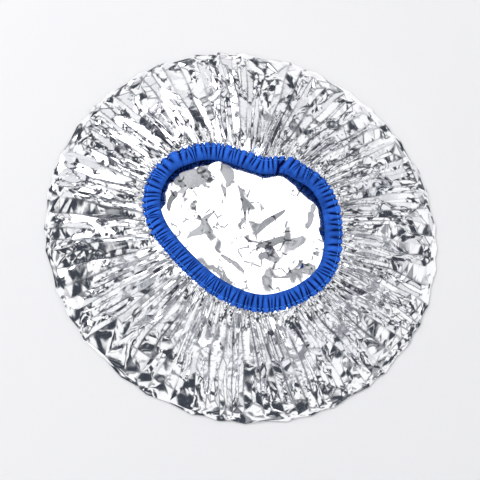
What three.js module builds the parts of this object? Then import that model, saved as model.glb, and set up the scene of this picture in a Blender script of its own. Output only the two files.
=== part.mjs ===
// Foil hair treatment cap, lying on its crown with the elastic mouth up.
// Millimetres, +Z up. The origin is the middle of the crown's underside, where the cap rests.
import * as THREE from "three";

const { clamp, degToRad, lerp } = THREE.MathUtils;

// Film: one round metallised sheet, here as its flat crown and its gathered side.
const filmThickness = 0.5;
const rimRadius = 140; // mean radius of the fold between crown and side
const rimStretch = 5.3; // how much the rim reaches past its mean along its long axis
const rimLongAxis = degToRad(-33);
const rimDraw = 1.2; // how far the rim is drawn in between two corners
const foldCount = 40; // folds of the side, each with a corner at the rim
const foldScatter = 0.55; // how unevenly the corners are spaced, as a share of one space
const foldDepth = 4.4; // ridge above, and valley below, the side's mean surface
const foldUneven = 0.5; // how much the folds' depths differ, as a share of the depth
const rimRise = 44; // slope at which the side leaves the rim, as its rise over the whole side
const splitEvery = 4; // of so many slopes between ridges and valleys, one splits towards the mouth
const splitDepth = 1.3; // ridge above, and valley below, a slope that splits
const openShares = [0, 0.25, 0.5]; // rows of the side from its rim on, as shares of the way to the mouth
const splitShare = 0.78; // row where the split slopes stand out most

// Mouth: where the middle of the binding runs, seen from above, counter-clockwise from the tape's lap.
const mouthPoints = [
  [30, 44.5],
  [20, 43.5],
  [8, 46.5],
  [-6, 52],
  [-26, 55],
  [-50, 46],
  [-62, 27],
  [-60, 4],
  [-42, -21.5],
  [-16, -44.5],
  [13, -55.5],
  [40, -49.5],
  [60, -33],
  [66, -8],
  [63, 16],
  [54, 31],
  [40, 40],
];
const mouthHeight = 25; // middle of the binding above the table
const mouthWave = 1.8; // how far the mouth rises and dips round the loop
const bindingRoll = degToRad(10); // the binding's open edge hangs lower than its fold

// Binding: a tape folded lengthwise over the film's cut edge, with the elastic loose in the fold.
const tapeThickness = 0.45;
const noseDepth = 1.1; // how far the fold is rounded
const elasticWidth = 6;
const elasticThickness = 0.6;
const seamAllowance = 4.6; // film between the tape's two leaves
const seamInset = 2.1; // from the tape's open edge to the row of stitches
const puckerCount = 60; // gathers of the tape round the mouth
const puckerDepth = 0.35;
const puckerJag = 0.5; // how far the gathers throw the open edge in and out
const tapeLap = 12; // the tape's end over its start
const elasticLap = 15; // the elastic's end over its start
const elasticJoin = 215; // from the tape's lap to the elastic's, along the mouth

const threadDiameter = 0.4;
const tackTurns = 5; // zigzags of thread that hold the elastic's lap
const fitGap = 0.25;

// Across the binding, from its folded edge to its open one.
const elasticNear = tapeThickness + noseDepth;
const elasticFar = elasticNear + elasticWidth;
const filmEdge = elasticFar + fitGap;
const bindingWidth = filmEdge + seamAllowance;
const seamAt = bindingWidth - seamInset;
const pinchAt = seamAt - threadDiameter;

// Up from the binding's mid-plane.
const elasticLayer = (elasticThickness + fitGap) / 2;
const tackAt = elasticLayer + elasticThickness / 2 + fitGap + threadDiameter / 2;
const tunnelHalf = tackAt + threadDiameter / 2 + fitGap + puckerDepth;
const pinchHalf = filmThickness / 2 + fitGap + puckerDepth;
const lapSpread = tapeThickness + fitGap;

const mouthCurve = new THREE.CatmullRomCurve3(
  mouthPoints.map(([x, y]) => new THREE.Vector3(x, y, 0)),
  true,
  "catmullrom",
);
mouthCurve.arcLengthDivisions = 40 * mouthPoints.length;
const mouthLength = mouthCurve.getLength();
const puckerSteps = 2 * puckerCount;
const puckerStep = mouthLength / puckerSteps;
const tapeLapSteps = Math.round(tapeLap / puckerStep);
const elasticLapSteps = Math.round(elasticLap / puckerStep);

// The binding's section plane, so far along the mouth. Across is 0 at the folded edge and grows
// towards the film; up is 0 at the binding's mid-plane.
function mouthFrame(along) {
  const turn = (((along / mouthLength) % 1) + 1) % 1;
  const middle = mouthCurve.getPointAt(turn);
  const tangent = mouthCurve.getTangentAt(turn);
  const outward = new THREE.Vector3(tangent.y, -tangent.x, 0);
  const bearing = Math.atan2(middle.y, middle.x);
  middle.z = mouthHeight + mouthWave * Math.sin(2 * bearing);
  const side = outward.clone().multiplyScalar(Math.cos(bindingRoll));
  side.z = -Math.sin(bindingRoll);
  const lift = outward.clone().multiplyScalar(Math.sin(bindingRoll));
  lift.z = Math.cos(bindingRoll);
  const at = (across, up) =>
    middle
      .clone()
      .addScaledVector(side, across - bindingWidth / 2)
      .addScaledVector(lift, up);
  return { at, bearing };
}

function skin(points, index) {
  const geometry = new THREE.BufferGeometry();
  const numbers = points.flatMap((p) => [p.x, p.y, p.z]);
  geometry.setAttribute("position", new THREE.Float32BufferAttribute(numbers, 3));
  geometry.setIndex(index);
  geometry.computeVertexNormals();
  return geometry;
}

// A closed skin through a row of sections, which runs round to the first one.
// With a cap outline, the row is open and is closed by a cap at both ends.
// A section goes out along one face of its sheet and back along the other, and both faces bend
// along the same diagonals, so that the sheet keeps its thickness.
function loft(sections, capOutline) {
  const size = sections[0].length;
  const spans = capOutline ? sections.length - 1 : sections.length;
  const index = [];
  for (let i = 0; i < spans; i++) {
    const here = i * size;
    const next = ((i + 1) % sections.length) * size;
    for (let k = 0; k < size; k++) {
      const m = (k + 1) % size;
      if (k < size / 2) {
        index.push(here + k, next + k, next + m);
        index.push(here + k, next + m, here + m);
      } else {
        index.push(here + k, next + k, here + m);
        index.push(next + k, next + m, here + m);
      }
    }
  }
  if (capOutline) {
    const last = (sections.length - 1) * size;
    for (const [a, b, c] of THREE.ShapeUtils.triangulateShape(capOutline, [])) {
      index.push(a, b, c);
      index.push(last + a, last + c, last + b);
    }
  }
  return skin(sections.flat(), index);
}

// Uneven but repeatable numbers from -0.5 to 0.5.
function scatter(k) {
  const golden = (Math.sqrt(5) - 1) / 2;
  return ((k * golden) % 1) - 0.5;
}

// The rim seen from above: a corner where each fold's ridge ends, drawn in between two corners.
function rimOutline() {
  const corners = [];
  for (let k = 0; k < foldCount; k++) {
    const turn = (k + foldScatter * scatter(k)) / foldCount;
    const { bearing } = mouthFrame(turn * mouthLength);
    const reach = rimRadius + rimStretch * Math.cos(2 * (bearing - rimLongAxis));
    corners.push(new THREE.Vector2(reach * Math.cos(bearing), reach * Math.sin(bearing)));
  }
  const outline = [];
  for (let k = 0; k < foldCount; k++) {
    const valley = corners[k].clone().lerp(corners[(k + 1) % foldCount], 0.5);
    valley.setLength(valley.length() - rimDraw);
    outline.push(corners[k], valley);
  }
  return outline;
}

const rim = rimOutline();

function crownGeometry() {
  return new THREE.ExtrudeGeometry(new THREE.Shape(rim), {
    depth: filmThickness,
    bevelEnabled: false,
  });
}

// Height of the side's mean surface, which leaves the rim steeply and meets the binding at its roll.
function sideHeight(share, start, end, run) {
  const rise = share * share * (3 - 2 * share);
  const leave = share * (1 - share) * (1 - share);
  const arrive = share * share * (share - 1);
  const endRise = run * Math.tan(bindingRoll);
  return start + (end - start) * rise + rimRise * leave + endRise * arrive;
}

// The side's lines, as places in steps of the rim's outline: a ridge or valley at each step, and
// two more lines on a slope that splits.
const foldPlaces = rim.map((_, k) => k);
const mouthPlaces = foldPlaces.flatMap((k) => (k % splitEvery === 1 ? [k, k + 1 / 3, k + 2 / 3] : [k]));

// Folds and gathers alternate: 1 on a ridge, -1 in the valley between two.
const ridgeOf = (k) => (k % 2 === 0 ? 1 : -1);
const depthOf = (k) => ridgeOf(k) * foldDepth * (1 + foldUneven * scatter(3 * k));

// A point on the under face of the side, between the rim and the binding.
function sidePoint(place, share) {
  const k = Math.floor(place);
  const next = (k + 1) % rim.length;
  const part = place - k;
  const foot = rim[k].clone().lerp(rim[next], part);
  const edge = bindingPoint(place, bindingWidth + puckerJag);
  const run = Math.hypot(edge.x - foot.x, edge.y - foot.y);
  const depth = lerp(depthOf(k), depthOf(next), part) * Math.sin(Math.PI * share);
  const split = part > 0 ? ridgeOf(k) * Math.sign(part - 0.5) * splitDepth : 0;
  return new THREE.Vector3(
    lerp(foot.x, edge.x, share),
    lerp(foot.y, edge.y, share),
    sideHeight(share, filmThickness + fitGap, edge.z, run) + depth + split,
  );
}

// A point on the under face of the film where it lies flat in the binding.
function bindingPoint(place, across) {
  const { at } = mouthFrame((place / rim.length) * mouthLength);
  return at(across, -filmThickness / 2);
}

// Rows of the side's under face, from the rim up and in to the film's cut edge.
const sideRows = [
  ...openShares.map((share) => ({
    places: foldPlaces,
    points: foldPlaces.map((place) => sidePoint(place, share)),
  })),
  { places: mouthPlaces, points: mouthPlaces.map((place) => sidePoint(place, splitShare)) },
  ...[bindingWidth + puckerJag, filmEdge].map((across) => ({
    places: mouthPlaces,
    points: mouthPlaces.map((place) => bindingPoint(place, across)),
  })),
];

// How much taller than thick the film stands at one point of a row, where its facets lean.
// It lies flat in the binding, in the last two rows.
function leanOf(row, i) {
  if (row > sideRows.length - 3) return 1;
  const { places, points } = sideRows[row];
  const next = sideRows[row + 1];
  const inward = next.points[next.places.indexOf(places[i])].clone().sub(points[i]);
  const level = [1, points.length - 1].map((step) => {
    const beside = points[(i + step) % points.length].clone().sub(points[i]);
    return Math.abs(inward.clone().cross(beside).normalize().z);
  });
  return 1 / Math.min(...level);
}

// Triangles of a sheet between two rows that close round the cap, each corner as [row, step].
function trianglesBetween(row, outer, inner) {
  const triangles = [];
  const middle = (places, i) => (i < places.length ? places[i] + (places[i + 1] ?? rim.length) : Infinity);
  let i = 0;
  let j = 0;
  while (i < outer.length || j < inner.length) {
    const here = [row, i % outer.length];
    const above = [row + 1, j % inner.length];
    if (middle(inner, j) <= middle(outer, i)) {
      j += 1;
      triangles.push([here, [row + 1, j % inner.length], above]);
    } else {
      i += 1;
      triangles.push([here, [row, i % outer.length], above]);
    }
  }
  return triangles;
}

// The film's two faces bend along the same lines, so that it keeps its thickness. A wall closes it
// along the rim and along its cut edge.
function sideGeometry() {
  const under = sideRows.flatMap(({ points }) => points);
  const upper = sideRows.flatMap(({ points }, row) =>
    points.map((p, i) => new THREE.Vector3(p.x, p.y, p.z + filmThickness * leanOf(row, i))),
  );
  const first = [0];
  for (const { points } of sideRows) first.push(first.at(-1) + points.length);
  const index = [];
  for (let row = 0; row + 1 < sideRows.length; row++) {
    for (const triangle of trianglesBetween(row, sideRows[row].places, sideRows[row + 1].places)) {
      const [a, b, c] = triangle.map(([r, step]) => first[r] + step);
      index.push(c, b, a);
      index.push(under.length + a, under.length + b, under.length + c);
    }
  }
  for (const row of [0, sideRows.length - 1]) {
    const size = sideRows[row].points.length;
    for (let k = 0; k < size; k++) {
      const ends = [first[row] + k, first[row] + ((k + 1) % size)];
      const [a, b] = row === 0 ? ends : ends.reverse();
      index.push(a, b, under.length + b);
      index.push(a, under.length + b, under.length + a);
    }
  }
  return skin([...under, ...upper], index);
}

// How far the tape's end is spread as it comes round to lie over its start.
function lapOf(k) {
  return lapSpread * clamp((k - (puckerSteps - tapeLapSteps)) / tapeLapSteps, 0, 1);
}

// The tape's section: its outer skin from the open edge round the fold and back, then its inner skin.
// Spread opens it so that it lies over another layer of tape.
function tapeOutline(pucker, spread) {
  const edge = bindingWidth + puckerJag * pucker;
  const skin = (wall) => {
    const raise = wall + spread + puckerDepth * pucker;
    const nose = tapeThickness - wall - spread;
    return [
      [edge, pinchHalf + raise],
      [pinchAt, pinchHalf + raise],
      [elasticFar, tunnelHalf + raise],
      [nose + noseDepth, tunnelHalf + raise],
      [nose, 0],
      [nose + noseDepth, -tunnelHalf - raise],
      [elasticFar, -tunnelHalf - raise],
      [pinchAt, -pinchHalf - raise],
      [edge, -pinchHalf - raise],
    ];
  };
  const outline = [...skin(tapeThickness), ...skin(0).reverse()];
  return outline.map(([across, up]) => new THREE.Vector2(across, up));
}

function bindingGeometry() {
  const sections = [];
  for (let k = 0; k <= puckerSteps + tapeLapSteps; k++) {
    const { at } = mouthFrame(k * puckerStep);
    sections.push(tapeOutline(ridgeOf(k), lapOf(k)).map((p) => at(p.x, p.y)));
  }
  return loft(sections, tapeOutline(1, 0));
}

function elasticOutline(up) {
  const half = elasticThickness / 2;
  return [
    new THREE.Vector2(elasticFar, up + half),
    new THREE.Vector2(elasticNear, up + half),
    new THREE.Vector2(elasticNear, up - half),
    new THREE.Vector2(elasticFar, up - half),
  ];
}

// Flat elastic, a loop inside the fold, whose end climbs over its start.
function elasticGeometry() {
  const sections = [];
  for (let k = 0; k <= puckerSteps + elasticLapSteps; k++) {
    const climb = clamp((k - (puckerSteps - elasticLapSteps)) / elasticLapSteps, 0, 1);
    const { at } = mouthFrame(elasticJoin + k * puckerStep);
    const outline = elasticOutline(elasticLayer * (2 * climb - 1));
    sections.push(outline.map((p) => at(p.x, p.y)));
  }
  return loft(sections, elasticOutline(0));
}

// The seam's thread as a ring on the tape's upper leaf, face 1, or its lower one, face -1.
// It follows the gathers and steps over the tape's lap.
function seamGeometry(face) {
  const radius = threadDiameter / 2;
  const sections = [];
  for (let k = 0; k < puckerSteps; k++) {
    const spread = k <= tapeLapSteps + 1 ? lapSpread : lapOf(k + 1);
    const leaf = pinchHalf + tapeThickness + spread + puckerDepth * ridgeOf(k);
    const up = face * (leaf + fitGap + radius);
    const { at } = mouthFrame(k * puckerStep);
    sections.push([
      at(seamAt + radius, up),
      at(seamAt, up + radius),
      at(seamAt - radius, up),
      at(seamAt, up - radius),
    ]);
  }
  return loft(sections);
}

// A zigzag of thread over the elastic's lapped ends, one pucker step in from each of them.
function tackGeometry() {
  const turns = 2 * tackTurns;
  const length = (elasticLapSteps - 2) * puckerStep;
  const corners = [];
  for (let i = 0; i <= turns; i++) {
    const { at } = mouthFrame(elasticJoin + puckerStep + (length * i) / turns);
    const across = i % 2 === 0 ? elasticNear + threadDiameter : elasticFar - threadDiameter;
    corners.push(at(across, tackAt));
  }
  const section = new THREE.Shape();
  section.absarc(0, 0, threadDiameter / 2, 0, 2 * Math.PI);
  return new THREE.ExtrudeGeometry(section, {
    steps: 3 * turns,
    curveSegments: 3,
    extrudePath: new THREE.CatmullRomCurve3(corners),
    bevelEnabled: false,
  });
}

const silverFilm = { color: 0xe3e6ea, roughness: 0.14, metalness: 1 };
const blueTape = { color: 0x1237b5, roughness: 0.75, metalness: 0 };
const blueThread = { color: 0x2f7be0, roughness: 0.55, metalness: 0 };
const paleElastic = { color: 0xe8e6df, roughness: 0.8, metalness: 0 };

function piece(name, geometry, finish) {
  const mesh = new THREE.Mesh(geometry, new THREE.MeshStandardMaterial(finish));
  mesh.name = name;
  return mesh;
}

const film = new THREE.Group();
film.add(piece("foil_crown", crownGeometry(), silverFilm));
film.add(piece("foil_side", sideGeometry(), silverFilm));

const mouth = new THREE.Group();
mouth.add(piece("binding_tape", bindingGeometry(), blueTape));
mouth.add(piece("elastic_band", elasticGeometry(), paleElastic));
mouth.add(piece("seam_needle_thread", seamGeometry(1), blueThread));
mouth.add(piece("seam_bobbin_thread", seamGeometry(-1), blueThread));
mouth.add(piece("elastic_tack_thread", tackGeometry(), blueThread));

const cap = new THREE.Group();
cap.add(film, mouth);

export default cap;
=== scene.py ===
import math

import bmesh
import bpy
import numpy as np
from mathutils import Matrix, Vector, noise
from mathutils.geometry import delaunay_2d_cdt


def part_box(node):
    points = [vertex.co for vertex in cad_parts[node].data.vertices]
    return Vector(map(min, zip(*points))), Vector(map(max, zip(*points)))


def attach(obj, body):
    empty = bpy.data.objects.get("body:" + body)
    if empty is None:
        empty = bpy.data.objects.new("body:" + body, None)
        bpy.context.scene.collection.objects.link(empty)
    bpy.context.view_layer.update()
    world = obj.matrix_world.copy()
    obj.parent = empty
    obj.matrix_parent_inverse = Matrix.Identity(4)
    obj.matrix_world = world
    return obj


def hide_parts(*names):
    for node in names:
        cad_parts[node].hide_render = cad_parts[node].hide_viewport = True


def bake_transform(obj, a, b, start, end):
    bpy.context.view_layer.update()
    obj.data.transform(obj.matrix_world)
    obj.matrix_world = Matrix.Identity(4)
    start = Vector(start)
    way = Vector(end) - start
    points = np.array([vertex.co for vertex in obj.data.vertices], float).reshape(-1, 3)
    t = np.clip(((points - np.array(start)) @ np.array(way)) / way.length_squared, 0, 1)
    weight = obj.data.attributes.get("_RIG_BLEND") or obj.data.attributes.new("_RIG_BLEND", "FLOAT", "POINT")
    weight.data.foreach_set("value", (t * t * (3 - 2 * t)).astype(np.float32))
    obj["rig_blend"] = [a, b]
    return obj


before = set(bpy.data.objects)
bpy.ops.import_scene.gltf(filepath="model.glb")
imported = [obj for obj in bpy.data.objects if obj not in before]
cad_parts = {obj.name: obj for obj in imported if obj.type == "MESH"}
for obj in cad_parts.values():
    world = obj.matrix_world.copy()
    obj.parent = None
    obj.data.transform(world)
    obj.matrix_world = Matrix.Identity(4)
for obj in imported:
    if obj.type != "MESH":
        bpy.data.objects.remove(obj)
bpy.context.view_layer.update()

scene = bpy.context.scene
scene.view_settings.view_transform = "Standard"


# Table: a pale matt board that the cap lies on and that takes its shadow.
# It is a plain sheet, a little below the film so that the two don't touch.
class Socket:
    """One socket of a node tree. Arithmetic on it adds Math nodes, and node() adds any other."""

    def __init__(self, tree, socket=None):
        self.tree = tree
        self.socket = socket

    def feed(self, node, sockets):
        """Sets a node's sockets to values or links them to other sockets."""
        for key, value in sockets.items():
            if isinstance(value, Socket):
                self.tree.links.new(value.socket, node.inputs[key])
            else:
                node.inputs[key].default_value = value

    def node(self, kind, sockets, settings=(), out=0):
        """Adds a node of any kind, and returns one of its outputs."""
        made = self.tree.nodes.new(kind)
        for key, value in settings:
            setattr(made, key, value)
        self.feed(made, sockets)
        return Socket(self.tree, made.outputs[out])

    def math(self, operation, a, b=0.0):
        return self.node("ShaderNodeMath", {0: a, 1: b}, [("operation", operation)])

    def vector_math(self, operation, other=(0.0, 0.0, 0.0), out=0):
        return self.node("ShaderNodeVectorMath", {0: self, 1: other}, [("operation", operation)], out)

    def ramp(self, start, end):
        """0 below start, 1 above end and smooth between them."""
        sockets = {"Value": self, "From Min": start, "From Max": end}
        return self.node("ShaderNodeMapRange", sockets, [("interpolation_type", "SMOOTHSTEP")])

    def blend(self, low, high):
        """The colour low where this socket is 0 and high where it is 1."""
        sockets = {0: self, 6: low, 7: high}
        return self.node("ShaderNodeMix", sockets, [("data_type", "RGBA")], out=2)

    def __add__(self, other):
        return self.math("ADD", self, other)

    def __radd__(self, other):
        return self.math("ADD", other, self)

    def __sub__(self, other):
        return self.math("SUBTRACT", self, other)

    def __rsub__(self, other):
        return self.math("SUBTRACT", other, self)

    def __mul__(self, other):
        return self.math("MULTIPLY", self, other)

    def __rmul__(self, other):
        return self.math("MULTIPLY", other, self)

    def __truediv__(self, other):
        return self.math("DIVIDE", self, other)

    def __rtruediv__(self, other):
        return self.math("DIVIDE", other, self)


def new_material(name):
    """A material with its bare tree as a Socket, its shader node and its Object coordinates."""
    material = bpy.data.materials.new(name)
    material.use_nodes = True
    tree = Socket(material.node_tree)
    shader = material.node_tree.nodes["Principled BSDF"]
    return material, tree, shader, tree.node("ShaderNodeTexCoord", {}, out="Object")


def noise_of(place, scale, detail=2.0):
    return place.node("ShaderNodeTexNoise", {"Vector": place, "Scale": scale, "Detail": detail})


board_size = 6.0
board_gap = 0.0002
bpy.ops.object.select_all(action="DESELECT")
bpy.ops.mesh.primitive_plane_add(size=board_size, location=(0, 0, -board_gap))
table = bpy.context.object
table.name = "table"
material, tree, shader, place = new_material("pale_board")
mottle = noise_of(place, 9.0)
tree.feed(shader, {
    "Base Color": mottle.blend((0.87, 0.87, 0.885, 1), (0.9, 0.9, 0.91, 1)),
    "Roughness": 0.75 + 0.1 * mottle,
    "Specular IOR Level": 0.2,
})
table.data.materials.append(material)


# Studio: one bright lamp overhead with a dim ceiling beyond it and a bright patchy one behind the camera.
# Lower down is a room of white and dark patches, above white low walls, and the film mirrors all of it.
# A softbox at the back left throws the shadow.
world = bpy.data.worlds.new("studio")
scene.world = world
world.use_nodes = True
tree = Socket(world.node_tree)
direction = tree.node("ShaderNodeTexCoord", {}, out="Generated")
aside, ahead, height = [
    tree.node("ShaderNodeSeparateXYZ", {"Vector": direction}, out=axis) for axis in ("X", "Y", "Z")
]
patches = noise_of(direction, 3.6, 2.0)
room = patches.ramp(0.43, 0.445).blend((0.05, 0.058, 0.075, 1), (0.3, 0.31, 0.33, 1))
room = patches.ramp(0.455, 0.51).blend(room, (1.08, 1.08, 1.08, 1))
beams = noise_of(direction, 7.0, 2.0).ramp(0.42, 0.5).blend((0.32, 0.33, 0.35, 1), (1.2, 1.2, 1.2, 1))
overhead = height.ramp(0.79, 0.83).blend(room, beams)
beyond = height.ramp(0.86, 0.88) * ahead.ramp(-0.3, -0.2)
dim = noise_of(direction, 12.0, 2.0).ramp(0.42, 0.62).blend((0.29, 0.3, 0.32, 1), (0.62, 0.63, 0.65, 1))
overhead = beyond.blend(overhead, dim)
lamp_half_width = 0.15
lamp_half_length = 0.34
lamp_middle = 0.06
from_lamp = tree.math("POWER", aside / lamp_half_width, 2.0)
from_lamp = from_lamp + tree.math("POWER", (ahead - lamp_middle) / lamp_half_length, 2.0)
overhead = from_lamp.ramp(0.9, 1.1).blend((2.4, 2.4, 2.4, 1), overhead)
sky = height.ramp(0.03, 0.1).blend((0.93, 0.93, 0.94, 1), overhead)
tree.feed(world.node_tree.nodes["Background"], {"Color": sky, "Strength": 1.0})

key_data = bpy.data.lights.new("softbox", "AREA")
key_data.shape = "RECTANGLE"
softbox_side = 0.9
key_data.size = softbox_side
key_data.size_y = softbox_side
key_data.energy = 8.6
key = bpy.data.objects.new("softbox", key_data)
key.location = (-0.75, 0.7, 1.15)
key.rotation_euler = (-key.location).to_track_quat("-Z", "Y").to_euler()
scene.collection.objects.link(key)

camera_data = bpy.data.cameras.new("camera")
camera_data.lens = 135
camera = bpy.data.objects.new("camera", camera_data)
aim = Vector((-0.0002, -0.0044, 0.0))
elevation = math.radians(77)
distance = 1.304
camera.location = aim + distance * Vector((0, -math.cos(elevation), math.sin(elevation)))
camera.rotation_euler = (aim - camera.location).to_track_quat("-Z", "Y").to_euler()
scene.collection.objects.link(camera)
scene.camera = camera


# Film: one round cut of metallised plastic, drawn into the binding all round its edge.
# The crown lies on the table, a little billowed and creased, and the side is gathered into long sharp folds
# that split as they near the mouth.
rng = np.random.default_rng(11)
film_thickness = 0.00008
film_leaves = 0.0024  # from the row of stitches to where the film leaves the binding
solid_leaves = 0.0026  # the same on the solid side
binding_roll = math.radians(10)
rim_height = 0.0012
rise_at_rim = 0.044  # slope at which the side leaves the rim, as a rise over the whole side
rise_at_mouth = 0.014  # the same where it nears the mouth
fold_at_binding = 0.0003  # height of a ridge or depth of a valley there
fold_at_rim = 0.0009  # height at which a fold ends there
solid_rows = [0.0, 0.22, 0.5, 0.75, 1.0]  # rows of corners of the solid side, from the binding out


def corners_of(node):
    """The corners of a CAD node, each once, in order round the cap from the widest gap between two."""
    points = np.unique(np.array([v.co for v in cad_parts[node].data.vertices]).round(7), axis=0)
    bearing = np.arctan2(points[:, 1], points[:, 0])
    order = np.argsort(bearing)
    gaps = np.diff(bearing[order], prepend=bearing[order[-1]] - 2 * math.pi)
    return points[np.roll(order, -np.argmax(gaps))]


def loop_through(points, waves):
    """A smooth closed line through evenly spaced points, as a function of the share of the way round."""
    terms = np.fft.rfft(points, axis=0)[: waves + 1] / len(points)
    terms[1:] *= 2

    def line(turn):
        return (np.exp(2j * math.pi * np.outer(turn, np.arange(waves + 1))) @ terms).real

    return line


needle = corners_of("seam_needle_thread").reshape(-1, 4, 3).mean(axis=1)
bobbin = corners_of("seam_bobbin_thread").reshape(-1, 4, 3).mean(axis=1)
bobbin = np.roll(bobbin, -np.argmin(np.linalg.norm(bobbin - needle[0], axis=1)), axis=0)
spread = np.linalg.norm(needle - bobbin, axis=1)
lap_middle = np.argmax(sum(np.roll(spread, k) for k in (-2, -1, 0, 1, 2)))
seam_line = loop_through(np.roll((needle + bobbin) / 2, -lap_middle, axis=0), waves=20)
mouth_length = np.linalg.norm(np.diff(seam_line(np.linspace(0, 1, 721)), axis=0), axis=1).sum()


def on_binding(turn, across, up):
    """Points of the binding: across it from the row of stitches outwards, and up from its mid-plane."""
    turn, across, up = np.broadcast_arrays(turn, across, up)
    ahead = seam_line(turn + 0.002) - seam_line(turn - 0.002)
    outward = np.stack([ahead[:, 1], -ahead[:, 0], 0 * turn], axis=1)
    outward /= np.linalg.norm(outward, axis=1, keepdims=True)
    rise = np.array([0, 0, 1.0])
    side = outward * math.cos(binding_roll) - rise * math.sin(binding_roll)
    lift = outward * math.sin(binding_roll) + rise * math.cos(binding_roll)
    return seam_line(turn) + side * across[:, None] + lift * up[:, None]


crown_corners = corners_of("foil_crown")
rim = crown_corners[crown_corners[:, 2] > 0.0001, :2]
rim_bearing = np.unwrap(np.arctan2(rim[:, 1], rim[:, 0]))
rim_radius = np.hypot(rim[:, 0], rim[:, 1])
first_corner = int(rim_radius[1::2].mean() > rim_radius[0::2].mean())

# Where the film leaves the binding, by share of the way round.
edge_turn = np.linspace(0, 1, 1441)
edge_line = on_binding(edge_turn, film_leaves, 0.0)
edge_bearing = np.unwrap(np.arctan2(edge_line[:, 1], edge_line[:, 0]))
edge_radius = np.hypot(edge_line[:, 0], edge_line[:, 1])


def radius_at(bearing, bearings, radii):
    """Radius of a loop round the cap at a bearing."""
    return np.interp(bearing, bearings, radii, period=2 * math.pi)


def turn_at(bearing):
    return np.interp((bearing - edge_bearing[0]) % (2 * math.pi), edge_bearing - edge_bearing[0], edge_turn)


def side_plan(turn, out):
    """Point of the side seen from above: out is 0 at the binding and 1 at the rim."""
    turn = turn % 1.0
    bearing = np.interp(turn, edge_turn, edge_bearing)
    reach = radius_at(bearing, rim_bearing, rim_radius)
    x = (1 - out) * np.interp(turn, edge_turn, edge_line[:, 0]) + out * reach * np.cos(bearing)
    y = (1 - out) * np.interp(turn, edge_turn, edge_line[:, 1]) + out * reach * np.sin(bearing)
    return x, y


def mean_height(turn, out):
    """Height of the side between its ridges and valleys."""
    top = np.interp(turn % 1.0, edge_turn, edge_line[:, 2])
    share = 1 - out
    rise = share * share * (3 - 2 * share)
    height = rim_height + (top - rim_height) * rise
    return height + rise_at_rim * share * out * out - rise_at_mouth * share * share * out


def fold(sign, turn, height, start, end):
    """A ridge, sign 1, or valley, sign -1: its turn and height by out, and where it starts and ends."""
    return {"sign": sign, "turn": turn, "height": height, "start": start, "end": end}


# The solid side's lines where they enter the binding, counted in steps of the way round: its folds are
# three steps apart, with two lines between the folds of each slope that splits.
step_count = 3 * len(rim)
found_within = 0.0003
solid_side = corners_of("foil_side")
near_edge = on_binding(edge_turn, solid_leaves, 0.0)[:, :2]
apart = np.linalg.norm(solid_side[:, None, :2] - near_edge[None], axis=2)
at_binding = edge_turn[np.argmin(apart, axis=1)[apart.min(axis=1) < found_within]]
steps = np.unique(np.rint(step_count * at_binding).astype(int) % step_count)
fold_class = np.argmax(np.bincount(steps % 3))
fold_start = (3 * np.arange(len(rim)) + fold_class) / step_count
splits = {(step - fold_class) // 3 for step in steps if step % 3 != fold_class}
rim_turn = turn_at(rim_bearing)
rim_order = np.argsort(rim_turn)


def drift(order):
    """How far each fold turns from the binding to its corner of the rim, with the corners in this order."""
    return (rim_turn[order] - fold_start + 0.5) % 1.0 - 0.5


shifted = [np.roll(rim_order, k) for k in (-2, -1, 0, 1, 2)]
rim_order = min(shifted, key=lambda order: np.abs(drift(order)).sum())
fold_drift = drift(rim_order)


def solid_height(turn, out):
    """Height of the solid side's mid-face at the corner nearest to a place on it."""
    apart = np.hypot(*(solid_side[:, :2] - side_plan(turn, out)).T)
    return solid_side[np.argsort(apart)[:2], 2].mean()


def main_fold(k):
    """A fold of the solid side, from the binding to its corner of the rim, wandering a little on its way."""
    sign = 1 if rim_order[k] % 2 == first_corner else -1

    def turn(out):
        wander = 0.006 * math.sin(math.pi * out) * noise.noise(Vector((2.5 * out, 7.3 * k, 1.0)))
        return fold_start[k] + fold_drift[k] * out + wander

    heights = [mean_height(fold_start[k], 0.0) + sign * fold_at_binding]
    heights += [solid_height(turn(out), out) for out in solid_rows[1:-1]] + [fold_at_rim]

    def height(out):
        return np.interp(out, solid_rows, heights)

    return fold(sign, turn, height, 0.0, 1.0)


def split_folds(left, right, start, end, depth, width):
    """A valley and a ridge, or the other way round, that split the slope between two folds.
    The pair narrows and fades out at its end, and at its start too unless it starts at the binding."""
    middle = 0.5 if depth > 0.001 and start == 0 else rng.uniform(0.42, 0.58)
    pair = []
    for sign, way in ((-left["sign"], -1), (left["sign"], 1)):
        half = way * width * rng.uniform(0.8, 1.2)
        scale = rng.uniform(0.7, 1.3)

        def share_at(out, half=half):
            along = (out - start) / (end - start)
            open_by = 1 - along if start == 0 else math.sin(math.pi * along)
            return middle + half * (0.25 + 0.75 * open_by)

        def turn(out, share_at=share_at):
            return left["turn"](out) + share_at(out) * (right["turn"](out) - left["turn"](out))

        def height(out, sign=sign, scale=scale, share_at=share_at):
            share = share_at(out)
            between = left["height"](out) + share * (right["height"](out) - left["height"](out))
            along = (out - start) / (end - start)
            grow = 0.25 + out / 0.07 if start == 0 else along * 4
            swell = min(1.0, grow) * math.sqrt(max(0.0, 1 - along))
            return between + sign * scale * depth * swell

        pair.append(fold(sign, turn, height, start, end))
    return pair


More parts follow.
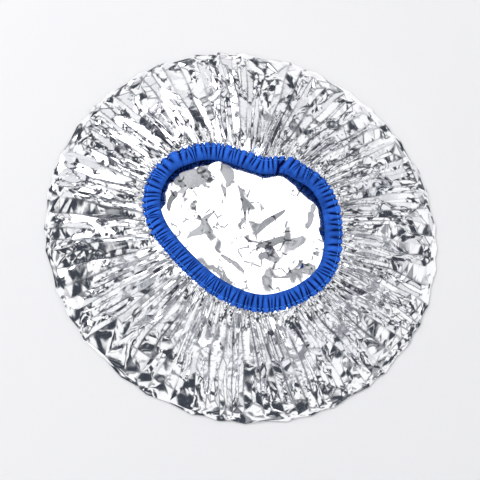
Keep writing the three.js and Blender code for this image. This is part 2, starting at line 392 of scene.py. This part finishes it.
folds = [main_fold(k) for k in range(len(rim))]
all_folds = []
for k, left in enumerate(folds):
    right = folds[(k + 1) % len(folds)]
    if k + 1 == len(folds):
        lead = right["turn"]
        right = dict(right, turn=lambda out: lead(out) + 1.0)
    row = [left]
    reach = 0.0
    if k in splits:
        reach = 0.5
        row += split_folds(left, right, 0.0, reach, depth=0.0016, width=0.17)
    elif rng.random() < 0.55:
        reach = rng.uniform(0.3, 0.7) if rng.random() < 0.6 else rng.uniform(0.7, 0.95)
        row += split_folds(left, right, 0.0, reach, depth=0.0009, width=0.17)
    row.append(right)
    for a, b in zip(row[:-1], row[1:]):
        all_folds.append(a)
        end = min(a["end"], b["end"])
        if rng.random() < 0.1:
            end = min(rng.uniform(0.08, 0.3), end)
            all_folds += split_folds(a, b, 0.0, end, depth=0.0006, width=0.17)
        elif rng.random() < 0.12:
            end = rng.uniform(0.4, 0.9) * end
            all_folds += split_folds(a, b, 0.0, end, depth=0.0005, width=0.08)
    if reach < 0.75 and rng.random() < 0.75:
        start = max(reach + 0.04, rng.uniform(0.4, 0.7))
        end = rng.uniform(0.9, 0.965)
        all_folds += split_folds(left, right, start, end, depth=0.0011, width=rng.uniform(0.07, 0.2))

bead_out = 0.982  # the row of points next to the rim
bead_lift = 0.0001
plan = []
levels = []
crease_lines = []
edge_starts = []
rim_ends = []
edge_folds = []
for line in all_folds:
    outs = [line["start"]]
    while outs[-1] < line["end"]:
        spacing = 0.028 + 0.05 * outs[-1]
        outs.append(outs[-1] + spacing * rng.uniform(0.7, 1.3))
    outs = [out for out in outs if out < line["end"] - 0.03]
    if line["end"] == 1.0:
        outs = [out for out in outs if out < 0.95] + [bead_out, 1.0]
    here = []
    for out in outs:
        here.append(len(plan))
        plan.append(side_plan(line["turn"](out), out))
        crumple = rng.normal(0, 0.00008 + 0.0005 * out * out) if 0.03 < out < 0.96 else 0.0
        levels.append(line["height"](out) + crumple)
    if line["end"] == 1.0:
        levels[here[-2]] += bead_lift
        rim_ends.append((here[-2], here[-1]))
    if line["start"] == 0.0:
        edge_starts.append(here[0])
        edge_folds.append(line)
    crease_lines += list(zip(here[:-1], here[1:]))

edge_loop = list(zip(edge_starts, edge_starts[1:] + edge_starts[:1]))
bead_loop = [(a[0], b[0]) for a, b in zip(rim_ends, rim_ends[1:] + rim_ends[:1])]
rim_loop = [(a[1], b[1]) for a, b in zip(rim_ends, rim_ends[1:] + rim_ends[:1])]
fixed_lines = crease_lines + edge_loop + bead_loop + rim_loop
weld = 1e-7
edge_slack = 0.0004


def triangles_between(lines):
    """Triangles over the side, with the given lines among their edges, as indices of the points in plan.
    A point where two lines cross is added to plan, at the height of its nearest neighbours."""
    points, _, faces, originals = delaunay_2d_cdt([Vector(p) for p in plan], lines, [], 0, weld, True)[:4]
    source = []
    known = np.array(plan)
    for spot, ids in zip(points, originals):
        if not ids:
            near = np.argsort(np.hypot(*(known - spot).T))[:2]
            ids = [len(plan)]
            plan.append(tuple(spot))
            levels.append(np.mean([levels[i] for i in near]))
        source.append(ids[0])
    kept = []
    for face in faces:
        ids = [source[i] for i in face]
        x, y = np.mean([plan[i] for i in ids], axis=0)
        bearing = math.atan2(y, x)
        inner = radius_at(bearing, edge_bearing, edge_radius) - edge_slack
        if inner < math.hypot(x, y) < radius_at(bearing, rim_bearing, rim_radius):
            kept.append(ids)
    return kept


first = np.array(triangles_between(fixed_lines))
flat = np.array(plan)
a, b, c = flat[first[:, 0]], flat[first[:, 1]], flat[first[:, 2]]
areas = 0.5 * np.abs((b - a)[:, 0] * (c - a)[:, 1] - (b - a)[:, 1] * (c - a)[:, 0])
taken = flat.tolist()
mouth_radius = 0.055
side_width = 0.085
side_tries = 2200
for k in rng.choice(len(first), side_tries, p=areas / areas.sum()):
    weights = rng.dirichlet((2.0, 2.0, 2.0))
    spot = weights @ flat[first[k]]
    clearance = np.min(np.hypot(*(np.array(taken) - spot).T))
    out = max(0.0, (math.hypot(*spot) - mouth_radius) / side_width)
    if clearance > 0.003 + 0.0052 * out and rng.random() < np.clip((out - 0.25) / 0.4, 0.03, 1):
        taken.append(spot.tolist())
        plan.append(tuple(spot))
        levels.append(weights @ np.array(levels)[first[k]] + rng.normal(0, 0.0002 + 0.0009 * out))
side_faces = triangles_between(fixed_lines)
film_points = [(x, y, z) for (x, y), z in zip(plan, levels)]

# The cut edge, pinched between the tape's two leaves.
edge_turns = np.array([line["turn"](0.0) for line in edge_folds])
signs = np.array([line["sign"] for line in edge_folds])
rows = [edge_starts]
for across, swing in ((0.0, 0.0002), (-0.0025, 0.00012)):
    rows.append(list(range(len(film_points), len(film_points) + len(signs))))
    film_points += on_binding(edge_turns, across, signs * swing).tolist()
hem_faces = []
for outer, inner in zip(rows[:-1], rows[1:]):
    for k in range(len(signs)):
        m = (k + 1) % len(signs)
        hem_faces.append([outer[k], outer[m], inner[m], inner[k]])

# The crown: its rim lies on the table, and it is creased from having been folded up.
crown_height = 0.0012
crown_reach = 0.142
crown_tries = 5200
plain_rim = 0.003  # strip along the rim without loose points or painted crease shade
crease_step = 0.004
rim_ids = [ends[1] for ends in rim_ends]
crown_plan = [plan[i] for i in rim_ids]
crown_ids = list(rim_ids)
crown_loop = [(k, (k + 1) % len(rim_ids)) for k in range(len(rim_ids))]


def bowl(x, y):
    """Height of the crown's shallow bowl, which billows up under the binding and most at the far side."""
    out = math.hypot((x - 0.004) / 1.15, y)
    rise = 0.0025 * np.interp(out, (0.015, 0.062, 0.09, 0.125), (0, 1, 0.8, 0))
    bulge = 0.0065 * math.exp(-(((x - 0.016) / 0.06) ** 2) - ((y - 0.066) / 0.032) ** 2)
    return rise + bulge


def within(spot, outline):
    """Whether a point lies inside an outline."""
    ahead = np.roll(outline, -1, axis=0)
    run = ahead[:, 1] - outline[:, 1]
    spans = (outline[:, 1] > spot[1]) != (ahead[:, 1] > spot[1])
    share = (spot[1] - outline[:, 1]) / np.where(run == 0, 1.0, run)
    crossing = outline[:, 0] + share * (ahead[:, 0] - outline[:, 0])
    return np.count_nonzero(spans & (spot[0] < crossing)) % 2 == 1


# Panes left flat and tilted by the creases: corners in mm, then extra rise towards +X and +Y.
panes = [
    ([(-45.2, 43.3), (-33.6, 48.9), (-25.4, 37.7), (-36.5, 31.5)], -0.12, 0.0),
    ([(-15.7, 48.1), (-5.0, 47.1), (-3.8, 39.5), (-9.5, 36.0)], 0.12, 0.0),
    ([(-15.0, 37.0), (-9.8, 33.5), (-10.6, 24.3)], 0.13, 0.0),
    ([(-2.2, 36.7), (1.4, 31.9), (4.7, 18.7), (3.8, 7.2), (1.9, 17.6)], -0.15, 0.0),
    ([(-40.1, -5.1), (-35.5, 2.5), (-30.0, 4.4), (-27.2, 12.9), (-17.0, 17.7), (-24.4, 9.2), (-26.3, -1.3),
      (-34.6, -2.2)], 0.09, -0.09),
    ([(9.8, -3.2), (15.3, 9.2), (19.9, 12.0), (33.8, 18.7), (32.0, 14.9), (18.0, 4.4)], 0.087, -0.096),
    ([(9.8, -8.9), (16.2, -6.0), (30.1, -1.3), (37.4, -4.1), (27.0, -8.0), (20.0, -12.0)], 0.0, -0.11),
    ([(13.0, -14.5), (20.5, -13.5), (17.0, -19.3), (12.5, -19.3)], -0.13, 0.0),
    ([(49.0, 16.9), (54.1, 14.9), (52.3, 7.2), (48.1, 1.6)], 0.15, 0.0),
    ([(22.7, -33.6), (33.8, -30.7), (45.8, -25.0), (43.9, -29.8), (33.8, -33.6)], -0.05, -0.09),
    ([(-54.0, 18.7), (-52.2, 26.3), (-46.7, 32.9), (-44.8, 28.1), (-49.4, 23.4), (-51.2, 14.9)],
     -0.13, 0.0),
]
outlines = []
pane_edges = set()
for corners, rise_x, rise_y in panes:
    outline = []
    corners = 0.001 * np.array(corners)
    for a, b in zip(corners, np.roll(corners, -1, axis=0)):
        parts = max(1, round(math.hypot(*(b - a)) / crease_step))
        outline += [a + (b - a) * i / parts for i in range(parts)]
    outline = np.array(outline)
    middle = outline.mean(axis=0)
    near = 0.002
    lean_x = (bowl(middle[0] + near, middle[1]) - bowl(middle[0] - near, middle[1])) / (2 * near)
    lean_y = (bowl(middle[0], middle[1] + near) - bowl(middle[0], middle[1] - near)) / (2 * near)
    tilt = (outline - middle) @ (lean_x + rise_x, lean_y + rise_y)
    base = max(crown_height + bowl(*middle), 0.5 * crown_height - tilt.min())
    ring = range(len(crown_plan), len(crown_plan) + len(outline))
    crown_loop += [(k, ring[0] if k == ring[-1] else k + 1) for k in ring]
    first_id = len(film_points)
    pane_edges |= {(first_id + k, first_id + k + 1) for k in range(len(outline) - 1)}
    pane_edges.add((first_id, first_id + len(outline) - 1))
    for spot, rise in zip(outline, tilt):
        crown_ids.append(len(film_points))
        crown_plan.append(tuple(spot))
        film_points.append((*spot, base + rise))
    outlines.append(outline)

# Wrinkles outside the panes: two ends and about how high each one is.
wrinkles = [
    ((-0.051, 0.011), (-0.029, 0.030), 0.0004),
    ((-0.016, -0.016), (0.002, -0.031), 0.0006),
    ((-0.09, -0.05), (-0.03, -0.07), 0.001),
    ((0.07, 0.06), (0.1, 0.02), 0.001),
    ((0.02, 0.08), (-0.03, 0.1), 0.001),
]
for (ax, ay), (bx, by), tall in wrinkles:
    lengthways = Vector((bx - ax, by - ay))
    sideways = Vector((-lengthways.y, lengthways.x)).normalized()
    parts = max(4, round(lengthways.length / crease_step))
    crest = []
    for i in range(parts + 1):
        share = i / parts
        wander = 0.0012 * noise.noise(Vector((9 * share, 50 * ax, 50 * ay)))
        spot = Vector((ax, ay)) + share * lengthways + wander * sideways
        rise = tall * math.sin(math.pi * (0.08 + 0.84 * share)) * rng.uniform(0.7, 1.2)
        for offset, level in ((0.0, crown_height + rise), (0.0038, 0.0011), (-0.006, 0.0008)):
            point = spot + offset * rng.uniform(0.8, 1.2) * sideways
            if any(within(point, outline) for outline in outlines):
                continue
            if offset == 0.0:
                crest.append(len(crown_plan))
            crown_ids.append(len(film_points))
            crown_plan.append(tuple(point))
            film_points.append((*point, level + bowl(*point)))
    crown_loop += list(zip(crest[:-1], crest[1:]))
for spot in rng.uniform(-crown_reach, crown_reach, (crown_tries, 2)):
    from_rim = radius_at(math.atan2(spot[1], spot[0]), rim_bearing, rim_radius) - math.hypot(*spot)
    clearance = np.min(np.hypot(*(np.array(crown_plan) - spot).T))
    free = from_rim > plain_rim and not any(within(spot, outline) for outline in outlines)
    if free and clearance > rng.uniform(0.0028, 0.008):
        flat_rim = min(1.0, from_rim / 0.02)
        swell = 0.0007 * noise.noise(Vector((34 * spot[0], 34 * spot[1], 4.0)))
        rough = 0.00008 + 0.0005 * max(0.0, noise.noise(Vector((26 * spot[0], 26 * spot[1], 9.0))))
        level = 0.0003 + flat_rim * max(0.0, 0.0011 + swell + rng.normal(0, rough))
        crown_ids.append(len(film_points))
        crown_plan.append(tuple(spot))
        film_points.append((*spot, level + bowl(*spot)))
crown_spots = [Vector(p) for p in crown_plan]
points, _, faces, originals = delaunay_2d_cdt(crown_spots, crown_loop, [], 0, weld, True)[:4]
crown_faces = []
for face in faces:
    x, y = np.mean([points[i] for i in face], axis=0)
    if math.hypot(x, y) < radius_at(math.atan2(y, x), rim_bearing, rim_radius):
        crown_faces.append([crown_ids[originals[i][0]] for i in reversed(face)])


def new_piece(name, points, faces):
    """A mesh object with smooth faces, put into the scene."""
    mesh = bpy.data.meshes.new(name)
    mesh.from_pydata(points, [], faces)
    mesh.polygons.foreach_set("use_smooth", [True] * len(faces))
    mesh.update()
    made = bpy.data.objects.new(name, mesh)
    scene.collection.objects.link(made)
    return made


def apply_modifier(piece, kind, **settings):
    """Adds a modifier with these settings to a piece and applies it, which leaves the piece selected."""
    bpy.ops.object.select_all(action="DESELECT")
    bpy.context.view_layer.objects.active = piece
    piece.select_set(True)
    modifier = piece.modifiers.new("shaping", kind)
    for key, value in settings.items():
        setattr(modifier, key, value)
    bpy.ops.object.modifier_apply(modifier=modifier.name)


def mark_points(piece, name, values):
    """Keeps one number per point of a mesh for its material."""
    piece.data.attributes.new(name, "FLOAT", "POINT").data.foreach_set("value", np.ravel(values))


def marked(tree, name):
    """The number that mark_points kept under this name."""
    return tree.node("ShaderNodeAttribute", {}, [("attribute_name", name)], out="Fac")


film = new_piece("cap_film", film_points, side_faces + hem_faces + crown_faces)
mesh = film.data
sharp_bend = 20
shape = bmesh.new()
shape.from_mesh(mesh)
crease = shape.edges.layers.float.new("crease_edge")
corner = shape.verts.layers.float.new("crease_vert")
shape.verts.ensure_lookup_table()
for i in rim_ids:
    shape.verts[i][corner] = 1.0
for edge in shape.edges:
    bend = math.degrees(edge.calc_face_angle(0.0))
    on_pane = tuple(sorted(vertex.index for vertex in edge.verts)) in pane_edges
    edge[crease] = 1.0 if bend > sharp_bend else 0.9 * on_pane
    edge.smooth = not on_pane
shape.to_mesh(mesh)
shape.free()

apply_modifier(film, "SUBSURF", levels=1, use_limit_surface=False)
shape = bmesh.new()
shape.from_mesh(mesh)
crease = shape.edges.layers.float["crease_edge"]
# Points on the sharp creases, away from the rim: the material paints shade there.
on_crease = np.array([
    float(any(edge[crease] > 0.95 for edge in vertex.link_edges)) for vertex in shape.verts
])
shape.free()
spots = np.array([v.co for v in mesh.vertices])
spot_bearing = np.arctan2(spots[:, 1], spots[:, 0])
spot_radius = np.hypot(spots[:, 0], spots[:, 1])
on_crease *= spot_radius < radius_at(spot_bearing, rim_bearing, rim_radius) - plain_rim
mark_points(film, "on_crease", on_crease)
mark_points(film, "from_binding", spot_radius - radius_at(spot_bearing, edge_bearing, edge_radius))
normals = np.array([v.normal for v in mesh.vertices])
ripple = [0.00004 * noise.noise(150 * Vector(p)) for p in spots]
mesh.vertices.foreach_set("co", (spots + np.array(ripple)[:, None] * normals).ravel())
apply_modifier(film, "SOLIDIFY", thickness=film_thickness, offset=0.0)
bpy.ops.object.shade_smooth_by_angle(angle=math.radians(18))
# The inner face's points come after the outer face's.
mark_points(film, "inner_face", (np.arange(len(mesh.vertices)) >= len(spots)).astype(float))

material, tree, shader, place = new_material("metallised_film")
scuff = noise_of(place, 700.0, 3.0)
cloud = noise_of(place, 45.0, 2.0)
# Painted shade: the sharp creases are painted dark grey as their shade, and they are a little rougher too.
painted_shade_and_wear = marked(tree, "on_crease").ramp(0.5, 0.92)
from_binding = marked(tree, "from_binding")
# The inner face is hazier out beyond the binding, under the side.
hazy = marked(tree, "inner_face") * from_binding.ramp(0.004, 0.016)
# Dents of the outer side.
far_out = place.vector_math("LENGTH", out="Value").ramp(0.07, 0.11)
crumpled = far_out * (0.04 + 0.5 * noise_of(place, 48.0, 1.0).ramp(0.56, 0.66))
dents = tree.node("ShaderNodeTexVoronoi", {"Vector": place, "Scale": 190.0}, out="Distance")
# Fine gathers by the binding, drawn out along lines from the middle of the mouth. They are bumped, and their
# lines are painted dark as painted shade.
mouth_middle = (0.004, 0.006, 0.0)
on_side = tree.node("ShaderNodeSeparateXYZ", {"Vector": place}, out="Z").ramp(0.011, 0.014)
spoke = place.vector_math("SUBTRACT", mouth_middle).vector_math("MULTIPLY", (1.0, 1.0, 0.0))
drawn_out = tree.node("ShaderNodeCombineXYZ", {"Z": 0.9 * spoke.vector_math("LENGTH", out="Value")})
bearing = spoke.vector_math("NORMALIZE").vector_math("ADD", drawn_out)
near_binding = on_side * (1.0 - from_binding.ramp(0.008, 0.036))
gathers = noise_of(bearing, 34.0, 0.0)
lines = 1.0 - tree.math("ABSOLUTE", gathers - 0.5).ramp(0.03, 0.1)
lines = 0.7 * lines * near_binding * noise_of(place, 90.0, 1.0).ramp(0.45, 0.6)
# Short crease lines on the crown painted dark as their shade, only where it shows through the mouth.
sockets = {"Vector": place, "Scale": 120.0}
cells = tree.node("ShaderNodeTexVoronoi", sockets, [("feature", "DISTANCE_TO_EDGE")])
crown_crease_shade = (1.0 - cells.ramp(0.03, 0.12)) * noise_of(place, 50.0, 1.0).ramp(0.47, 0.56)
crown_crease_shade = crown_crease_shade * noise_of(place, 260.0, 1.0).ramp(0.46, 0.53)
crown_crease_shade = crown_crease_shade * (1.0 - on_side) * (1.0 - from_binding.ramp(0.0, 0.004))
relief = dents * crumpled + 0.5 * gathers * near_binding
silver = cloud.blend((0.86, 0.87, 0.9, 1), (0.95, 0.95, 0.96, 1))
# The creases and the gathers' lines are painted a dark grey as painted shade.
creased = tree.math("MAXIMUM", painted_shade_and_wear * cloud.ramp(0.3, 0.6), lines).blend(silver, (0.34, 0.35, 0.38, 1))
tree.feed(shader, {
    "Base Color": crown_crease_shade.blend(creased, (0.16, 0.165, 0.18, 1)),
    "Metallic": 1.0 - 0.45 * hazy,
    "Roughness": 0.04 + 0.07 * scuff + 0.1 * painted_shade_and_wear + 0.05 * hazy,
    "Normal": tree.node("ShaderNodeBump", {"Height": relief, "Strength": 1.0, "Distance": 0.0005}),
})
mesh.materials.append(material)
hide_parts("foil_crown", "foil_side")
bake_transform(film, "film", "mouth", start=(0, 0, 0.002), end=(0, 0, 0.0215))


# Elastic: a flat knitted band, 6 mm wide, looped inside the fold of the tape with its ends lapped.
# Its knit runs in seven cords along its length, and it is what draws the mouth in.
def sheet_mesh(name, grid, closed):
    """A mesh over a grid of points, rows along the mouth, whose columns close on themselves if asked."""
    rows, columns = grid.shape[:2]
    faces = []
    for i in range(rows - 1):
        for j in range(columns if closed else columns - 1):
            m = (j + 1) % columns
            faces.append((i * columns + j, (i + 1) * columns + j, (i + 1) * columns + m, i * columns + m))
    if closed:
        faces.append(tuple(range(columns)))
        faces.append(tuple(reversed(range((rows - 1) * columns, rows * columns))))
    return new_piece(name, grid.reshape(-1, 3).tolist(), faces)


elastic_width = 0.006
elastic_thickness = 0.0006
elastic_middle = -0.00575  # across from the row of stitches
elastic_lap = 0.015 / mouth_length
elastic_rows = 520
around = 48
tack_across = -0.0057
tack_spot = np.array(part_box("elastic_tack_thread")).mean(axis=0)[:2]
from_tack = np.linalg.norm(on_binding(edge_turn, tack_across, 0.0)[:, :2] - tack_spot, axis=1)
join_turn = edge_turn[np.argmin(from_tack)]
angles = np.linspace(0, 2 * math.pi, around, endpoint=False)
breadth = np.sign(np.cos(angles)) * np.abs(np.cos(angles)) ** 0.35
cord = 0.85 + 0.15 * np.abs(np.cos(3.5 * math.pi * breadth))
section_across = elastic_middle + 0.5 * elastic_width * breadth
section_up = 0.5 * elastic_thickness * cord * np.sign(np.sin(angles)) * np.abs(np.sin(angles)) ** 0.35
share = np.linspace(0, 1 + elastic_lap, elastic_rows)
climb = 0.000425 * (2 * np.clip((share - 1 + elastic_lap) / elastic_lap, 0, 1) - 1)
grid = np.array([
    on_binding(join_turn - elastic_lap / 2 + s, section_across, section_up + c) for s, c in zip(share, climb)
])
elastic = sheet_mesh("elastic_loop", grid, True)
mark_points(elastic, "along", np.repeat(share * mouth_length, around))
material, tree, shader, place = new_material("knitted_elastic")
stitch = tree.math("SINE", marked(tree, "along") * 5200.0)
fuzz = noise_of(place, 1500.0)
tree.feed(shader, {
    "Base Color": fuzz.blend((0.68, 0.67, 0.63, 1), (0.84, 0.83, 0.8, 1)),
    "Roughness": 0.8 + 0.1 * fuzz,
    "Normal": tree.node("ShaderNodeBump", {"Height": stitch, "Strength": 0.5, "Distance": 0.00008}),
})
elastic.data.materials.append(material)
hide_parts("elastic_band")
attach(elastic, "mouth")


# Tack: a short zigzag of spun polyester thread that holds the elastic's lapped ends.
# It lies under the tape, so the solid serves as it is.
def thread_finish(name, dark, light):
    """Spun thread: two shades of one colour in a fine twist."""
    material, tree, shader, place = new_material(name)
    twist = noise_of(place, 3200.0, 1.0)
    tree.feed(shader, {
        "Base Color": twist.blend(dark, light),
        "Roughness": 0.5 + 0.2 * twist,
        "Specular IOR Level": 0.2,
        "Normal": tree.node("ShaderNodeBump", {"Height": twist, "Strength": 0.4, "Distance": 0.0001}),
    })
    return material


thread = thread_finish("spun_thread", (0.03, 0.24, 0.9, 1), (0.13, 0.46, 1.0, 1))
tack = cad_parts["elastic_tack_thread"]
tack.data.materials.clear()
tack.data.materials.append(thread)


# Binding: a woven royal-blue tape folded over the film's cut edge and the elastic, and stitched near its
# open edge. The elastic gathers it into about 120 uneven pleats, tightest at the left, and its end is
# lapped over its start.
lap = 0.012 / mouth_length
lap_place = 1.6 * lap  # how far the lap lies past the solid tape's
tape_width = 0.0124  # folded
tape_fold = -0.0103  # the fold, across from the row of stitches
tape_thickness = 0.0003
seam_share = 0.83  # where the seam runs between the fold, 0, and the open edge, 1
lap_rise = 1.6  # mm, of the upper leaf at the lap
lower_leaf_shift = 0.5 / 114  # about half a pleat, as a share of the way round
pleat_count = 122
tightness = np.interp(np.linspace(0, 1, pleat_count), (0, 0.12, 0.27, 0.5, 0.75, 0.92, 1),
                      (1.15, 1.2, 0.7, 0.8, 1, 1.1, 0.6))
pleat_ends = np.cumsum(tightness * rng.lognormal(0.0, 0.42, pleat_count))
pleat_ends *= (1 + lap) / pleat_ends[-1]
pleat_starts = np.concatenate([[0.0], pleat_ends[:-1]])
pleat_depth = rng.uniform(0.45, 1.3, len(pleat_ends))
pleat_lean = rng.uniform(-0.0032, 0.0032, len(pleat_ends)) / mouth_length
pleat_reach = rng.uniform(0.0, 0.42, len(pleat_ends))


def pleat_wave(s, width_share):
    """Height of the pleats so far along the tape and across it, about -1 in a valley and 1 on a ridge.
    A groove runs beside the lap."""
    lean = np.interp(s, pleat_starts, pleat_lean)
    s = np.clip(s + lean * (width_share - 0.5), 0, 1 + lap)
    k = np.clip(np.searchsorted(pleat_ends, s), 0, len(pleat_ends) - 1)
    phase = (s - pleat_starts[k]) / (pleat_ends[k] - pleat_starts[k])
    ridge = np.abs(np.sin(math.pi * phase)) ** 0.6
    depth = np.interp(s, pleat_starts, pleat_depth)
    fade = np.clip((width_share - np.interp(s, pleat_starts, pleat_reach)) / 0.3 + 0.5, 0.12, 1)
    groove = (s - lap - 0.0012 / mouth_length + 0.5 * lap * (width_share - 0.5)) * mouth_length / 0.0011
    return fade * depth * (1.7 * ridge - 1) + 0.25 * (1 - fade) - 1.8 * np.exp(-groove * groove)


def leaf_height(s, q, face):
    """Outer face of the tape above its mid-plane: q is 0 at the fold and 1 at the open edge."""
    # These tables are in mm.
    base = np.interp(q, (0, 0.03, 0.08, 0.15, 0.25, 0.4, 0.55, 0.68, 0.78, 0.83, 0.88, 0.95, 1),
                     (0, 0.9, 1.5, 1.95, 2.25, 2.4, 2.3, 1.95, 1.3, 0.95, 1.05, 1.25, 1.3))
    swing = np.interp(q, (0, 0.06, 0.15, 0.4, 0.7, 0.83, 0.9, 1),
                      (0, 0.15, 0.55, 1.15, 1.15, 0.65, 0.85, 1.0))
    if face < 0:
        s = (s + lower_leaf_shift) % (1 + lap)
    over = lap_rise * np.clip((s - 1 + lap) / lap, 0, 1) if face > 0 else 0.0
    return 0.001 * (base + swing * pleat_wave(s, q) + over * np.clip(6 * q, 0, 1))


columns = 1130
top_q = np.array((1, 0.96, 0.92, 0.88, 0.855, 0.83, 0.805, 0.77, 0.72,
                  0.65, 0.56, 0.46, 0.36, 0.26, 0.17, 0.1, 0.05, 0.02))
profile = np.concatenate([top_q, [0.0], top_q[::-1]])
leaf_faces = np.concatenate([np.ones(len(top_q)), [1.0], -np.ones(len(top_q))])
grid = np.zeros((columns + 1, len(profile), 3))
share = np.linspace(0, 1 + lap, columns + 1)
jag = 0.001 * pleat_wave(share, 1.0)
for j, (q, face) in enumerate(zip(profile, leaf_faces)):
    slant = -0.5 * lap * (q - 0.5) * np.clip((share - 1) / lap, 0, 1)
    across = tape_fold + tape_width * q + jag * np.clip((q - seam_share) / (1 - seam_share), 0, 1)
    across += 0.00012 * pleat_wave(share, 0.0) * np.clip(1 - 4 * q, 0, 1)
    across += 0.0018 * np.clip((share - 1) / lap, 0, 1) * np.clip(1 - 2 * q, 0, 1)
    grid[:, j] = on_binding(share - lap_place + slant, across, face * leaf_height(share, q, face))
tape = sheet_mesh("tape", grid, False)
mark_points(tape, "along", np.repeat(share * mouth_length, len(profile)))
# The pleats' heights, which also paint the tape's shade.
mark_points(tape, "pleat", np.stack([pleat_wave(share, q) for q in profile], axis=1))
girth = np.cumsum(np.abs(np.diff(profile, prepend=1.0))) * tape_width
mark_points(tape, "across", np.tile(girth, columns + 1))
apply_modifier(tape, "SOLIDIFY", thickness=tape_thickness, offset=-1.0)

material, tree, shader, place = new_material("woven_tape")
warp = tree.math("SINE", marked(tree, "across") * 11000.0)
weft = tree.math("SINE", marked(tree, "along") * 14000.0)
fade = noise_of(place, 160.0, 3.0)
# Painted shade: the pleats' valleys and the groove by the lap are painted dark navy and the ridges bright
# blue, with a random fade over it.
painted_shade_and_wear = (marked(tree, "pleat") * 0.6 + 0.45 + 0.5 * (fade - 0.5)).ramp(0.18, 0.95)
tree.feed(shader, {
    "Base Color": painted_shade_and_wear.blend((0.0002, 0.003, 0.07, 1), (0.034, 0.165, 0.78, 1)),
    "Roughness": 0.65 + 0.2 * fade,
    "Sheen Weight": 0.05,
    "Sheen Tint": (0.15, 0.4, 1.0, 1),
    "Specular IOR Level": 0.05,
    "Normal": tree.node("ShaderNodeBump", {"Height": warp * weft, "Strength": 0.35, "Distance": 0.00008}),
})
tape.data.materials.append(material)
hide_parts("binding_tape")
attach(tape, "mouth")


# Seam: one row of lockstitch through both leaves and the film, in spun polyester thread a shade lighter.
# The needle thread shows on the upper leaf as short stitches that dip into it, and the bobbin thread below.
stitch_count = 132
stitch_points = 9
thread_radius = 0.00026
thread_sides = 6


def stitches(name, face, tails):
    """A row of stitches on one leaf of the tape, with loose ends of thread, as one mesh."""
    runs = []
    for k in range(stitch_count):
        along = (k + np.linspace(0.17, 0.83, stitch_points)) / stitch_count
        arch = np.sin(np.linspace(0, math.pi, stitch_points))
        height = leaf_height((along + lap_place) % 1.0, seam_share, face)
        on_lap = (along > 1 - lap_place - 0.1 * lap) & (along < 1 - lap_place + 1.1 * lap)
        height = height + np.where(on_lap, 0.0007, 0.0) - 0.0003 + 0.0005 * arch ** 0.6
        runs.append(on_binding(along, rng.normal(0, 0.00006), face * height))
    runs += tails
    points = []
    sides = []
    corners = np.linspace(0, 2 * math.pi, thread_sides, endpoint=False)
    for run in runs:
        ahead = np.gradient(run, axis=0)
        ahead /= np.linalg.norm(ahead, axis=1, keepdims=True)
        right = np.cross(ahead, (0.0, 0.0, 1.0))
        right /= np.linalg.norm(right, axis=1, keepdims=True)
        up = np.cross(right, ahead)
        first = len(points)
        for spot, r, u in zip(run, right, up):
            points += [spot + thread_radius * (math.cos(a) * r + math.sin(a) * u) for a in corners]
        last = first + thread_sides * (len(run) - 1)
        for i in range(len(run) - 1):
            for j in range(thread_sides):
                a = first + thread_sides * i + j
                b = first + thread_sides * i + (j + 1) % thread_sides
                sides.append((a, b, b + thread_sides, a + thread_sides))
        sides.append(tuple(range(first + thread_sides - 1, first - 1, -1)))
        sides.append(tuple(range(last, last + thread_sides)))
    made = new_piece(name, [tuple(p) for p in points], sides)
    made.data.materials.append(thread)
    return made


def tail(turn, length, bend):
    """A loose end of thread that leaves the seam outwards and lies over the folds of the film."""
    along = np.linspace(0, 1, 10)
    across = 0.0002 + length * along
    up = 0.0016 + 0.0012 * np.sin(math.pi * along)
    return on_binding(turn + bend * along ** 2 / mouth_length, across, up)


tails = [tail(0.035, 0.0062, 0.003), tail(0.05, 0.0085, -0.002), tail(0.056, 0.005, 0.0025)]
needle_row = stitches("needle_stitches", 1, tails)
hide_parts("seam_needle_thread")
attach(needle_row, "mouth")
bobbin_row = stitches("bobbin_stitches", -1, [])
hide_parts("seam_bobbin_thread")
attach(bobbin_row, "mouth")
